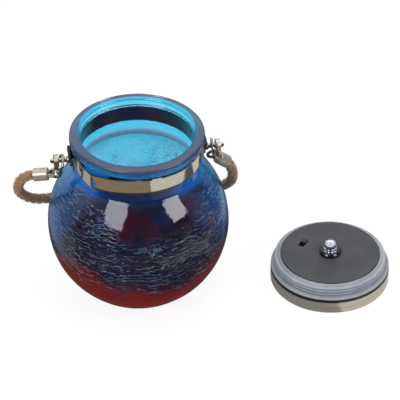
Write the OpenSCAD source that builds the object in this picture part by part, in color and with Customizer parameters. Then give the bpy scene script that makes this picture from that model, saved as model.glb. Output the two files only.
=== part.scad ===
// Glass jar lantern with a rope handle and a solar lid that lies upside down beside it.
// Millimetres. The origin is the centre of the jar's flat base, and +X runs along
// the handle studs towards the lid.

/* [Glass jar] */
// Radius of the round body
body_r = 65; // [64:0.5:66]
// Height of the middle of the round body above the table
body_z = 57.5; // [57:0.5:58]
// Wall thickness of the round body
wall = 4; // [3.5:0.5:4.5]
// Thickness of the glass floor
floor_t = 6; // [5:0.5:8]
// Outer radius of the neck
neck_r = 44.5; // [44:0.25:44.5]
// Radius of the mouth
mouth_r = 40.4; // [40.2:0.1:41]
// Height of the jar
jar_h = 134; // [134:0.5:135]
// Outer radius of the rim bead
rim_r = 47.8; // [47:0.2:48]
// Height of the rim bead
rim_h = 8; // [7:0.5:8]

/* [Neck band] */
// Width of the steel strap
band_w = 12; // [11:0.5:12]
// Height of the strap's lower edge
band_z = 113; // [112.5:0.5:113.5]
// Thickness of each strap
band_t = 0.55; // [0.4:0.05:0.6]

/* [Handle hardware] */
// Height of the handle studs
stud_z = 115.3; // [115:0.1:116]
// Radius of each stud
stud_r = 1.65; // [1.5:0.05:2]
// Distance of a stud's end from the jar's axis
stud_end = 62; // [61:0.5:63]
// Width of the nut across its flats
nut_af = 8.4; // [7:0.1:8.6]
// Radius of each end cap on the rope
cap_r = 4.7; // [4.6:0.05:4.8]
// Length of each end cap's sleeve
cap_l = 10.5; // [10:0.5:11]
// Radius of the rope
rope_r = 3.7; // [3.5:0.1:3.8]

/* [Solar lid] */
// Distance of the lid from the jar along X
lid_x = 137.5; // [136:0.5:140]
// Distance of the lid from the jar along Y
lid_y = -17.5; // [-20:0.5:-15]
// Radius of the steel rim
lid_r = 43; // [43:0.5:44]
// Height of the steel rim
steel_h = 10; // [9.5:0.5:10]
// Radius of the black base plate
plate_r = 36; // [35.8:0.1:36.2]
// Height of the base plate's face above the table
plate_z = 22.7; // [22.6:0.1:22.8]
// Distance of the switch from the lid's centre
switch_r = 22; // [21:0.5:23]
// Direction of the switch from the lid's centre
switch_a = 141.6; // [130:0.1:150]

/* [Hidden] */
$fn = 96;

// Glass jar
rim_z = jar_h - rim_h;
bead_round = 2.5;
lip_round = 2;
shoulder_round = 3;
punt_r = 24;
punt_depth = 1.5;
punt_sphere = (punt_r * punt_r + punt_depth * punt_depth) / (2 * punt_depth);
fillet_x = neck_r + shoulder_round;
fillet_rise = sqrt(pow(body_r + shoulder_round, 2) - pow(fillet_x, 2));
fillet_z = body_z + fillet_rise;
fillet_sweep = atan2(fillet_rise, fillet_x);

// Neck band: the inner strap lies on the glass, and the front strap lies on it but for one corner
strap_gap = 0.05;
strap_in = neck_r + 0.1;
front_in = strap_in + band_t + strap_gap;
front_mid = front_in + band_t / 2;
corner_a = 220.5;
corner_out = 3.9;
corner_left_a = 26.5;
corner_right_a = 35.5;
corner_power = 1.2;
corner_steps = 12;
arc_steps = 28;
front_end_a = 343;
window_from_a = 207;
window_to_a = 236;
window_reach = 60;
rivet_hole_a = 223.5;
rivet_hole_r = 1.9;
rivet_hole_z = band_z + 4.7;
rivet_hole_from = neck_r + 2;
rivet_hole_l = 6;

// Stud hardware, as distances from the jar's axis
bracket_in = front_in + band_t + 0.15;
bracket_t = 1.2;
bracket_half_a = 8;
bracket_low = 109;
bracket_high = 122;
lip_half_a = 9;
lip_out = 49.4;
lip_t = 1.1;
washer_x = bracket_in + bracket_t + 0.1;
washer_t = 0.9;
collar_x = washer_x + washer_t + 0.1;
collar_l = 2.4;
eye_x = 53.7;
nut_x = 55.9;
nut_h = 3.4;

// Rings: the eye ring hangs on the stud and the link ring hangs on the eye ring
eye_R = 6.6;
eye_wire = 1;
eye_clear = 0.4;
link_R = 3.6;
link_wire = 1.1;
eye_drop = stud_r + eye_clear + eye_wire - eye_R;
eye_bottom = eye_drop - eye_R;
tongue_t = 2.4;
tongue_w = 6.4;
tongue_tip = 0.9;
tongue_hole = 1.5;
sleeve_start = 1.6;
bore_r = 4.05;
bore_l = 8.2;

// Each side's angles: outward tilt of the eye ring, swing about the stud,
// dip and turn of the cap, and the link ring's place below the eye ring
left_side = [20, 0, 8, 14];
left_link = [1.0, -0.8];
right_side = [8, 20, 46, 0];
right_link = [-0.55, -0.9];

// Route of the rope, from inside the left cap round the back of the jar to the right cap
ROPE = [[-65.6, 1, 104], [-69.5, 2, 103.4], [-73.4, 2.9, 102.9], [-78.5, 5, 100.5], [-82, 9.5, 94.5],
        [-83.5, 15, 86.5], [-83, 21.5, 77], [-79.5, 28, 67.5], [-73, 35, 58.5], [-63.5, 42.5, 51],
        [-51, 51, 45.5], [-37, 60, 41], [-20, 67, 37.5], [0, 70, 36], [20, 68, 36], [37, 61, 38],
        [50, 52, 42], [60, 43, 47], [66.5, 34, 53.5], [69.8, 25.8, 61.5], [71, 18, 70.5], [70.7, 12.6, 79.5],
        [68.7, 9.3, 88], [65.47, 7.61, 94.4], [62.69, 6.63, 97.1], [59.91, 5.64, 99.81]];
rope_sides = 12;
rope_steps = 3;

// Lid, as heights above the table
lid_at = [lid_x, lid_y, 0];
flange_in = 34;
flange_t = 0.8;
steel_t = 0.8;
window_t = 1.5;
panel_side = 46;
panel_t = 1.6;
housing_low = 2.5;
housing_flange_z = steel_h + 0.1;
housing_flange_t = 1;
plug_r = 35.4;
plug_wall = 1.6;
floor_z = 4.4;
floor_h = 1.5;
plate_t = 1.6;
gasket_z = housing_flange_z + housing_flange_t + 0.05;
fin_r = 40.1;
fin_z = [14.8, 17.2, 19.6];
plate_low = plate_z - plate_t;
board_z = 9;
board_t = 1.2;
board_w = 30;
board_d = 22;
board_y = 4;
board_top = board_z + board_t;
post_at = [[-11, 11], [11, 11]];
lead_x = 1.27;
battery_r = 5.2;
battery_l = 42;
battery_y = -17;
battery_z = 13;
slot_l = 8.8;
slot_w = 4.6;
knob_l = 4.2;
knob_w = 3.9;
knob_start = -1.8;
switch_at = [switch_r * cos(switch_a), switch_r * sin(switch_a), 0];

// A wedge from the axis outwards, to both sides of +X
module wedge(half_a) {
    reach = 100;
    high = 300;
    linear_extrude(high) polygon([[0, 0], reach * [1, -tan(half_a)], reach * [1, tan(half_a)]]);
}

// A tube between two radii
module tube(outer, inner, z, h) {
    translate([0, 0, z]) difference() {
        cylinder(r = outer, h = h);
        translate([0, 0, -1]) cylinder(r = inner, h = h + 2);
    }
}

// A ring of round wire about the Z axis
module wire_ring(R, r) {
    rotate_extrude() translate([R, 0]) circle(r = r, $fn = 32);
}

// The rounded corner where the shoulder turns up into the neck
module shoulder_outline() {
    steps = 6;
    bite = 0.3;
    inner_x = neck_r - 2;
    bend = [for (i = [0:steps]) let (a = 180 + fillet_sweep * i / steps)
        [fillet_x + shoulder_round * cos(a), fillet_z + shoulder_round * sin(a)]];
    polygon(concat([[inner_x, fillet_z + bite], bend[0] + [-bite, bite]], bend,
                   [bend[steps] - bite * [1, 1], [inner_x, fillet_z - 2 * shoulder_round]]));
}

module rim_outline() {
    bead_x = rim_r - bead_round;
    translate([0, rim_z]) square([bead_x, rim_h - lip_round]);
    translate([0, rim_z + bead_round]) square([rim_r, rim_h - 2 * bead_round]);
    square_in = mouth_r + lip_round;
    translate([square_in, rim_z]) square([bead_x - square_in, rim_h]);
    for (z = [rim_z + bead_round, jar_h - bead_round]) {
        translate([bead_x, z]) circle(r = bead_round, $fn = 60);
    }
    translate([square_in, jar_h - lip_round]) circle(r = lip_round, $fn = 60);
}

module jar_solid() {
    intersection() {
        translate([0, 0, body_z]) sphere(r = body_r, $fn = 180);
        cylinder(r = body_r + 1, h = jar_h);
    }
    translate([0, 0, body_z]) cylinder(r = neck_r, h = rim_z - body_z + 1);
    rotate_extrude() shoulder_outline();
    rotate_extrude() rim_outline();
}

module jar_space() {
    intersection() {
        translate([0, 0, body_z]) sphere(r = body_r - wall, $fn = 180);
        translate([0, 0, floor_t]) cylinder(r = body_r, h = jar_h);
    }
    translate([0, 0, body_z]) cylinder(r = mouth_r, h = jar_h);
}

module glass_jar() {
    color("royalblue", 0.5) difference() {
        jar_solid();
        jar_space();
        translate([0, 0, punt_depth - punt_sphere]) sphere(r = punt_sphere, $fn = 120);
    }
}

module rivet_hole() {
    rotate([0, 0, rivet_hole_a]) translate([rivet_hole_from, 0, rivet_hole_z]) rotate([0, 90, 0])
        cylinder(r = rivet_hole_r, h = rivet_hole_l, $fn = 40);
}

// The part of the ring behind the front strap's corner, where the inner strap is open
module band_window() {
    translate([0, 0, band_z - 1]) linear_extrude(band_w + 2)
        polygon([[0, 0], polar(window_reach, window_from_a), polar(window_reach, window_to_a)]);
}

module neck_band() {
    color("silver") difference() {
        tube(strap_in + band_t, strap_in, band_z, band_w);
        band_window();
    }
}

// How far the front strap stands off the neck at an angle: a blunt corner with two slopes
function stand_off(a) = corner_out
    * pow(max(0, 1 - abs(a - corner_a) / (a < corner_a ? corner_left_a : corner_right_a)), corner_power);

// The front strap's line seen from above, moved outwards by a distance
front_angles = concat(
    [for (i = [0:corner_steps]) corner_a - corner_left_a * (1 - i / corner_steps)],
    [for (i = [1:corner_steps]) corner_a + corner_right_a * i / corner_steps],
    [for (i = [1:arc_steps])
        corner_a + corner_right_a + i * (front_end_a - corner_a - corner_right_a) / arc_steps]);
function front_line(out) = [for (a = front_angles) polar(front_mid + stand_off(a) + out, a)];
function polar(r, a) = r * [cos(a), sin(a)];
function reversed(p) = [for (i = [len(p) - 1:-1:0]) p[i]];

module front_strap() {
    color("silver") difference() {
        translate([0, 0, band_z]) linear_extrude(band_w)
            polygon(concat(front_line(band_t / 2), reversed(front_line(-band_t / 2))));
        rivet_hole();
    }
}

// Runs its children on both sides of the jar
module both_sides() {
    children();
    mirror([1, 0, 0]) children();
}

// Lays its children along +X, starting at a distance from the axis, at the studs' height
module on_stud(x) {
    translate([x, 0, stud_z]) rotate([0, 90, 0]) children();
}

module bracket() {
    difference() {
        union() {
            intersection() {
                tube(bracket_in + bracket_t, bracket_in, bracket_low, bracket_high - bracket_low);
                wedge(bracket_half_a);
            }
            intersection() {
                tube(lip_out, bracket_in, bracket_high - lip_t, lip_t);
                wedge(lip_half_a);
            }
        }
        on_stud(neck_r) cylinder(r = stud_r + 0.05, h = 5);
    }
}

module stud_brackets() {
    color("slategray") both_sides() bracket();
}

module stud() {
    dome = 0.8;
    on_stud(bracket_in + 0.05) rotate_extrude() {
        square([stud_r, stud_end - bracket_in - 0.05 - dome]);
        translate([0, stud_end - bracket_in - 0.05 - dome]) intersection() {
            translate([0, -dome]) circle(r = stud_r, $fn = 48);
            square([stud_r, stud_r]);
        }
    }
}

module handle_studs() {
    color("silver") both_sides() stud();
}

module stud_washers() {
    color("gainsboro") both_sides() on_stud(washer_x) tube(5, stud_r + 0.1, 0, washer_t);
}

module spacer_collars() {
    color("silver") both_sides() on_stud(collar_x) rotate_extrude() difference() {
        union() {
            translate([0, 0]) square([stud_r + 0.6, collar_l]);
            translate([stud_r - 0.1, collar_l / 2]) circle(r = collar_l / 2, $fn = 40);
        }
        square([stud_r + 0.1, collar_l]);
        translate([-5, -5]) square([5, 20]);
    }
}

module nut() {
    flange_h = 0.8;
    difference() {
        union() {
            cylinder(r = nut_af / 2 / cos(30), h = nut_h, $fn = 6);
            cylinder(r = nut_af / 2 + 0.5, h = flange_h);
        }
        translate([0, 0, -1]) cylinder(r = stud_r + 0.05, h = nut_h + 2);
    }
}

module stud_nuts() {
    color("tan") both_sides() on_stud(nut_x) nut();
}

// Places its children about one side's stud, tilted and swung as that side hangs
module about_stud(side) {
    translate([eye_x, 0, stud_z]) rotate([side[1], 0, 0]) children();
}

module eye_ring(side) {
    about_stud(side) rotate([0, -side[0], 0]) translate([0, 0, eye_drop]) rotate([0, 90, 0])
        wire_ring(eye_R, eye_wire);
}

// Moves its children to the centre of one side's link ring
module at_link(side, link) {
    x = -eye_bottom * sin(side[0]) + link[0];
    z = eye_bottom * cos(side[0]) + link[1];
    about_stud(side) translate([x, 0, z]) children();
}

module link_ring(side, link) {
    at_link(side, link) rotate([90, 0, 0]) wire_ring(link_R, link_wire);
}

module rope_cap(side, link) {
    at_link(side, link) rotate([0, side[2], 0]) translate([link_R, 0, 0]) rotate([0, 0, side[3]])
        cap_shape();
}

module cap_shape() {
    tip = tongue_tip - link_R;
    difference() {
        union() {
            translate([tip, -tongue_w / 2, -tongue_t / 2])
                cube([sleeve_start - tip + 0.5, tongue_w, tongue_t]);
            translate([sleeve_start, 0, 0]) rotate([0, 90, 0]) sleeve();
        }
        translate([0, 0, -tongue_t]) cylinder(r = tongue_hole, h = 2 * tongue_t, $fn = 40);
        translate([sleeve_start + cap_l - bore_l, 0, 0]) rotate([0, 90, 0])
            cylinder(r = bore_r, h = bore_l + 1);
    }
}

module sleeve() {
    round_r = 1;
    rotate_extrude() {
        translate([0, round_r]) square([cap_r, cap_l - round_r]);
        square([cap_r - round_r, round_r + 1]);
        translate([cap_r - round_r, round_r]) circle(r = round_r, $fn = 40);
    }
}

module eye_ring_left() { color("silver") mirror([1, 0, 0]) eye_ring(left_side); }
module eye_ring_right() { color("silver") eye_ring(right_side); }
module link_ring_left() { color("dimgray") mirror([1, 0, 0]) link_ring(left_side, left_link); }
module link_ring_right() { color("dimgray") link_ring(right_side, right_link); }
module rope_cap_left() { color("linen") mirror([1, 0, 0]) rope_cap(left_side, left_link); }
module rope_cap_right() { color("linen") rope_cap(right_side, right_link); }

// A smooth line through a list of points, with some steps between neighbours
function spline(p, steps) = concat(
    [for (i = [0:len(p) - 2], k = [0:steps - 1]) spline_point(p, i, k / steps)],
    [p[len(p) - 1]]);
function end_safe(p, i) = i < 0 ? 2 * p[0] - p[1]
    : i > len(p) - 1 ? 2 * p[len(p) - 1] - p[len(p) - 2] : p[i];
function spline_point(p, i, t) = let (a = end_safe(p, i - 1), b = p[i], c = p[i + 1],
                                      d = end_safe(p, i + 2))
    0.5 * (2 * b + (c - a) * t + (2 * a - 5 * b + 4 * c - d) * t * t
           + (3 * b - a - 3 * c + d) * t * t * t);
function unit(v) = v / norm(v);
function heading(p, i) = unit(p[min(i + 1, len(p) - 1)] - p[max(i - 1, 0)]);

// A round tube along a line of points
module swept_tube(line, r, sides) {
    n = len(line);
    rings = [for (i = [0:n - 1]) let (h = heading(line, i), u = unit(cross(h, [0.2, 0.3, 0.9])),
                                      v = cross(h, u))
        for (k = [0:sides - 1]) line[i] + r * (cos(360 * k / sides) * u + sin(360 * k / sides) * v)];
    walls = [for (i = [0:n - 2], k = [0:sides - 1]) let (a = i * sides + k,
                                                         b = i * sides + (k + 1) % sides)
        [a, b, b + sides, a + sides]];
    low_end = [[for (k = [0:sides - 1]) sides - 1 - k]];
    high_end = [[for (k = [0:sides - 1]) (n - 1) * sides + k]];
    polyhedron(points = rings, faces = concat(walls, low_end, high_end));
}

module handle_rope() {
    color("peru") swept_tube(spline(ROPE, rope_steps), rope_r, rope_sides);
}

module lid_rim_ring() {
    round_r = 1.6;
    color("lightslategray") translate(lid_at) rotate_extrude() difference() {
        union() {
            translate([flange_in, 0]) square([lid_r - round_r - flange_in, flange_t]);
            translate([lid_r - steel_t, round_r]) square([steel_t, steel_h - round_r]);
            intersection() {
                translate([lid_r - round_r, round_r]) circle(r = round_r, $fn = 48);
                translate([lid_r - round_r, 0]) square([round_r, round_r]);
            }
        }
        translate([lid_r - round_r, round_r]) circle(r = round_r - steel_t, $fn = 48);
    }
}

module panel_window() {
    color("lightblue", 0.4) translate(lid_at) translate([0, 0, flange_t + 0.05])
        cylinder(r = lid_r - 2, h = window_t);
}

module solar_panel() {
    color("midnightblue") translate(lid_at)
        translate([-panel_side / 2, -panel_side / 2, flange_t + window_t + 0.2])
        cube([panel_side, panel_side, panel_t]);
}

module lid_housing() {
    color("black") translate(lid_at) difference() {
        union() {
            rotate_extrude() {
                translate([lid_r - 3, housing_low]) square([1.8, housing_flange_z - housing_low + 0.5]);
                translate([plug_r - plug_wall, housing_flange_z])
                    square([lid_r - 0.1 - plug_r + plug_wall, housing_flange_t]);
                translate([plug_r - plug_wall, floor_z]) square([plug_wall, plate_low - 0.05 - floor_z]);
                translate([0, floor_z]) square([plug_r, floor_h]);
            }
            for (p = post_at) {
                translate([p[0], p[1], floor_z + 0.5]) cylinder(r = 2, h = board_z - 0.05 - floor_z - 0.5);
            }
        }
        for (p = post_at) {
            translate([p[0], p[1], floor_z + floor_h]) cylinder(r = 0.9, h = 10, $fn = 24);
        }
        translate([0, -6, 0]) cylinder(r = 2.5, h = 10);
    }
}

module gasket() {
    tip_z = plate_low + 0.6;
    root_r = 38.6;
    tip_r = plate_r + 0.9;
    in_r = plug_r + 0.1;
    color("aliceblue", 0.6) translate(lid_at) rotate_extrude() {
        translate([in_r, gasket_z]) square([lid_r - 0.1 - 1.2 - in_r, 2.4]);
        translate([lid_r - 0.1 - 1.2, gasket_z + 1.2]) circle(r = 1.2, $fn = 40);
        polygon([[in_r, gasket_z + 1], [root_r, gasket_z + 1], [root_r - 0.6, 20], [tip_r, tip_z],
                 [plate_r + 0.2, tip_z], [plate_r + 0.2, plate_low - 0.1], [in_r, plate_low - 0.1]]);
        for (z = fin_z) {
            translate([in_r + 1, z - 0.5]) square([fin_r - in_r - 1.5, 1]);
            translate([fin_r - 0.5, z]) circle(r = 0.5, $fn = 32);
        }
    }
}

// A slot with square corners at the switch, along the lid's edge
module at_switch(z) {
    translate(switch_at) rotate([0, 0, switch_a + 90]) translate([0, 0, z]) children();
}

module centred_box(l, w, h) {
    translate([-l / 2, -w / 2, 0]) cube([l, w, h]);
}

module base_plate() {
    edge_r = 0.8;
    color("darkslategray") translate(lid_at) difference() {
        rotate_extrude() {
            translate([0, plate_low]) square([plate_r - edge_r, plate_t]);
            translate([0, plate_low]) square([plate_r, plate_t - edge_r]);
            translate([plate_r - edge_r, plate_z - edge_r]) circle(r = edge_r, $fn = 40);
        }
        at_switch(plate_low - 1) centred_box(slot_l, slot_w, 5);
        cylinder(r = 2.6, h = 40);
    }
}

module led_holder() {
    top_z = plate_z + 0.05;
    color("black") translate(lid_at) rotate_extrude() difference() {
        union() {
            translate([0, top_z]) square([8, 1.6]);
            polygon([[0, top_z + 1.5], [8, top_z + 1.5], [7, top_z + 2.8], [0, top_z + 2.8]]);
        }
        translate([0, top_z - 1]) square([2.6, 10]);
    }
}

lens_z = plate_z + 2.95;

module led_lens() {
    color("white", 0.5) translate(lid_at) rotate_extrude() difference() {
        union() {
            translate([0, lens_z]) square([5.6, 1.4]);
            translate([0, lens_z]) square([4.7, 4.2]);
            intersection() {
                translate([0, lens_z + 4.4]) circle(r = 4.1, $fn = 64);
                translate([0, lens_z + 1]) square([10, 20]);
            }
        }
        translate([0, lens_z - 1]) square([2.8, 5]);
        translate([-10, 0]) square([10, 60]);
    }
}

module led_frame() {
    color("gold") translate(lid_at) difference() {
        translate([0, 0, lens_z + 0.2]) cylinder(r = 2.6, h = 3.4);
        translate([0, 0, lens_z + 2.2]) cylinder(r1 = 1, r2 = 2.4, h = 1.6, $fn = 48);
    }
}

module led_leads() {
    color("silver") translate(lid_at) for (x = [-lead_x, lead_x]) {
        translate([x, 0, board_top + 0.05]) cylinder(r = 0.3, h = lens_z + 0.1 - board_top, $fn = 16);
    }
}

module switch_body() {
    body_h = 4.2;
    color("dimgray") translate(lid_at) at_switch(plate_low - body_h - 0.1) difference() {
        centred_box(14, 7, body_h);
        translate([0, 0, body_h - 1.6]) centred_box(slot_l, slot_w, 5);
    }
}

module switch_knob() {
    base_z = plate_low - 1.5;
    color("black") translate(lid_at) at_switch(base_z) translate([knob_start, 0, 0]) {
        centred_box(knob_l, knob_w, plate_z + 0.9 - base_z);
    }
}

module battery_holder() {
    floor_top = floor_z + floor_h + 0.1;
    color("black") translate(lid_at) translate([0, battery_y, 0]) difference() {
        translate([0, 0, floor_top]) centred_box(battery_l + 5.6, 2 * battery_r + 3, 8);
        translate([0, 0, floor_top + 1]) centred_box(battery_l + 3.2, 2 * battery_r + 0.6, 20);
    }
}

module battery() {
    color("green") translate(lid_at) translate([-battery_l / 2, battery_y, battery_z]) rotate([0, 90, 0]) {
        cylinder(r = battery_r, h = battery_l - 1);
        cylinder(r = 1.9, h = battery_l);
    }
}

module battery_contacts() {
    color("silver") translate(lid_at) for (s = [-1, 1]) {
        translate([s * (battery_l / 2 + 0.6) - 0.2, battery_y - 4, floor_z + floor_h + 1.3])
            cube([0.4, 8, 10]);
    }
}

module circuit_board() {
    color("darkgreen") translate(lid_at) difference() {
        translate([0, board_y, board_z]) centred_box(board_w, board_d, board_t);
        for (p = post_at) translate([p[0], p[1], 0]) cylinder(r = 1.05, h = 40, $fn = 24);
    }
}

module driver_chip() {
    color("black") translate(lid_at) translate([-7, 4, board_top + 0.05]) centred_box(4.9, 3.9, 1.5);
}

module inductor() {
    color("green") translate(lid_at) translate([4, 5, board_top + 1.9]) rotate([0, 90, 0])
        cylinder(r = 1.8, h = 7, $fn = 32);
}

module panel_leads() {
    low = flange_t + window_t + 0.2 + panel_t + 0.05;
    color("red") translate(lid_at) for (x = [-lead_x, lead_x]) {
        translate([x, -6, low]) cylinder(r = 0.6, h = board_z - 0.05 - low, $fn = 16);
    }
}

module board_screws() {
    color("silver") translate(lid_at) for (p = post_at) {
        translate([p[0], p[1], board_top + 0.05]) cylinder(r = 1.9, h = 1.3);
        translate([p[0], p[1], board_z - 2.5]) cylinder(r = 0.8, h = 4);
    }
}

glass_jar();
neck_band();
front_strap();
stud_brackets();
handle_studs();
stud_washers();
spacer_collars();
stud_nuts();
eye_ring_left();
eye_ring_right();
link_ring_left();
link_ring_right();
rope_cap_left();
rope_cap_right();
handle_rope();
lid_rim_ring();
panel_window();
solar_panel();
lid_housing();
gasket();
base_plate();
led_holder();
led_lens();
led_frame();
led_leads();
switch_body();
switch_knob();
battery_holder();
battery();
battery_contacts();
circuit_board();
driver_chip();
inductor();
panel_leads();
board_screws();
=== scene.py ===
import math

import bmesh
import bpy
import numpy as np
from mathutils import Matrix, Vector, noise


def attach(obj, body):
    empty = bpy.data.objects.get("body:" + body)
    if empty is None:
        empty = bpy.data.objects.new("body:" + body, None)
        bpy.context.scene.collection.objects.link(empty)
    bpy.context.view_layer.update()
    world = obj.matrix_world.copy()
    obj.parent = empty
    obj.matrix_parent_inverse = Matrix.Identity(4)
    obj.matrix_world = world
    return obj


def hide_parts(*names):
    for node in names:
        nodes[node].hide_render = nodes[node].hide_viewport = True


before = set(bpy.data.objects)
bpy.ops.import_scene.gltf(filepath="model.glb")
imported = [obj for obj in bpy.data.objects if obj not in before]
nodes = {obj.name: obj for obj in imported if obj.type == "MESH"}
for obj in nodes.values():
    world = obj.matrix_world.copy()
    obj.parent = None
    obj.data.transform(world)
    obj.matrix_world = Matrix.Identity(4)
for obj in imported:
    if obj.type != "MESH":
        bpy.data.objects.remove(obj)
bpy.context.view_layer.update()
MM = 0.001

# ---------------------------------------------------------------- camera
AZIMUTH = math.radians(-9.4)
ELEVATION = math.radians(37.02)
DISTANCE = 2178 * MM
PAN = (44.2 * MM, 58.8 * MM)
FOCAL_PIXELS = 2992
PICTURE_PIXELS = 400
SENSOR = 36
right = Vector((math.cos(AZIMUTH), math.sin(AZIMUTH), 0))
look = Vector((-math.sin(AZIMUTH), math.cos(AZIMUTH), 0))
forward = look * math.cos(ELEVATION) - Vector((0, 0, math.sin(ELEVATION)))
upward = look * math.sin(ELEVATION) + Vector((0, 0, math.cos(ELEVATION)))
camera_data = bpy.data.cameras.new("camera")
camera_data.sensor_width = SENSOR
camera_data.lens = FOCAL_PIXELS * SENSOR / PICTURE_PIXELS
camera_data.clip_start, camera_data.clip_end = 0.05, 60
camera = bpy.data.objects.new("camera", camera_data)
bpy.context.scene.collection.objects.link(camera)
target = right * PAN[0] + upward * PAN[1]
basis = Matrix((right, upward, -forward)).transposed().to_4x4()
camera.matrix_world = Matrix.Translation(target - forward * DISTANCE) @ basis
bpy.context.scene.camera = camera


# ---------------------------------------------------------------- mesh helpers
def make(name, verts, faces, materials, smooth=True, slots=None, sharp=None):
    """A new mesh object with its materials, smooth shading and an optional sharp angle."""
    mesh = bpy.data.meshes.new(name)
    mesh.from_pydata([tuple(v) for v in verts], [], [tuple(f) for f in faces])
    for m in materials:
        mesh.materials.append(m)
    if slots is not None:
        mesh.polygons.foreach_set("material_index", slots)
    mesh.polygons.foreach_set("use_smooth", [smooth] * len(mesh.polygons))
    if sharp is not None:
        mesh.set_sharp_from_angle(angle=math.radians(sharp))
    mesh.validate()
    mesh.update()
    obj = bpy.data.objects.new(name, mesh)
    bpy.context.scene.collection.objects.link(obj)
    return obj


def vector_attribute(mesh, name, values):
    """Stores one vector per point, for a material to read."""
    mesh.attributes.new(name, "FLOAT_VECTOR", "POINT").data.foreach_set(
        "vector", np.asarray(values, np.float32).ravel())


def arc(centre, radius, start, stop, steps):
    """Points on an arc in the (r, z) plane, angles in degrees."""
    return [(centre[0] + radius * math.cos(math.radians(a)), centre[1] + radius * math.sin(math.radians(a)))
            for a in np.linspace(start, stop, steps + 1)]


def join_lines(*lines):
    """One profile from several, without the doubled points where they meet."""
    out = []
    for line in lines:
        for p in line:
            if not out or math.dist(p, out[-1]) > 1e-4:
                out.append(p)
    return out


def line(a, b, steps):
    """Evenly spaced points on a straight line."""
    return [(a[0] + (b[0] - a[0]) * i / steps, a[1] + (b[1] - a[1]) * i / steps) for i in range(steps + 1)]


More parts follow.
